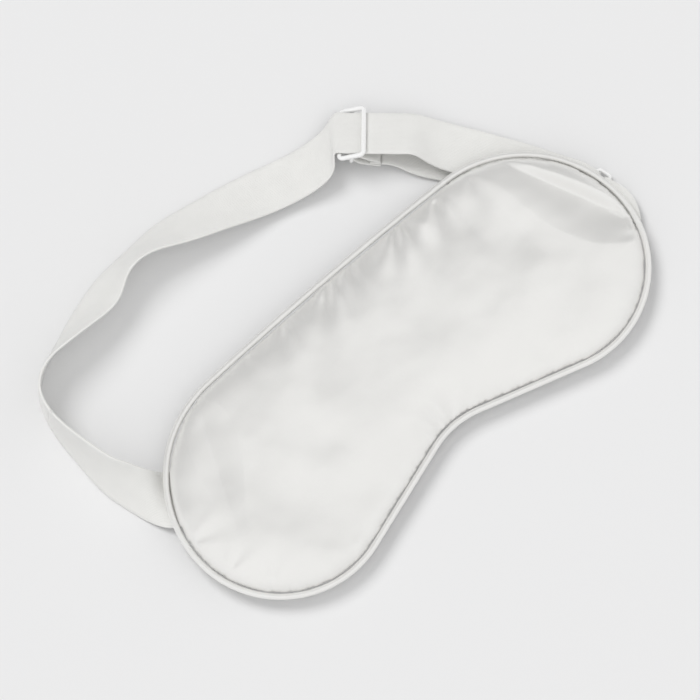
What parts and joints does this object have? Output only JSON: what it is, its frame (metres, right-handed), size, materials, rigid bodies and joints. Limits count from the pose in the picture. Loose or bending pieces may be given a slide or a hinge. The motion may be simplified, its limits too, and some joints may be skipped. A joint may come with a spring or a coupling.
{
  "type": "sleep mask",
  "caption": "Padded satin sleep mask with piped edge, blackout lining and an elastic head strap that runs through a slider and returns round a ring.",
  "frame": {"origin": "centre of the flat face of the mask that lies against the eyes, midway between the two lobe tips", "axes": "+X along the mask towards the side with the ring, +Y towards the forehead edge, +Z out of the front panel"},
  "size_m": [0.2241, 0.1502, 0.0191],
  "materials": {
    "satin": "satin sheen",
    "piping_satin": "satin sheen",
    "cord": "matte",
    "thread": "matte",
    "lining": "matte",
    "wadding": "matte",
    "elastic": "plush matte",
    "slider_metal": "white enamel"
  },
  "bodies": {
    "mask": {"front_cover": "satin", "back_cover": "satin", "piping_cover": "piping_satin", "piping_cord": "cord", "seam_thread": "thread", "blackout_lining": "lining", "wadding": "wadding", "strap_sewn_end": "elastic", "strap_end_tack": "thread", "tab_sewn_end": "elastic", "tab_tack": "thread"},
    "strap": {"strap_left_rise": "elastic", "strap_side_bend": "elastic", "strap_back_run": "elastic", "strap_slider_run": "elastic", "strap_outer_run": "elastic", "strap_ring_turn": "elastic", "strap_inner_run": "elastic", "ring_tab": "elastic"},
    "slider": {"slider": "slider_metal", "strap_slider_loop": "elastic", "fold_stitches": "thread"},
    "ring": {"ring": "slider_metal"}
  },
  "joints": [
    {"name": "strap_swing", "type": "hinge", "parent": "mask", "child": "strap", "pos_m": [-0.105, 0.012, -0.00225], "axis": [0.9957, -0.0931, 0], "range_deg": [-95, 0]},
    {"name": "slider_slide", "type": "slide", "parent": "strap", "child": "slider", "axis": [0.7431, -0.6691, 0], "range_m": [0, 0.01], "deforming": ["strap_inner_run"]},
    {"name": "ring_pivot", "type": "hinge", "parent": "strap", "child": "ring", "pos_m": [0.10705, 0.00543, -0.00235], "axis": [0.9703, 0.2419, 0], "range_deg": [-3.5, 3.5]}
  ]
}
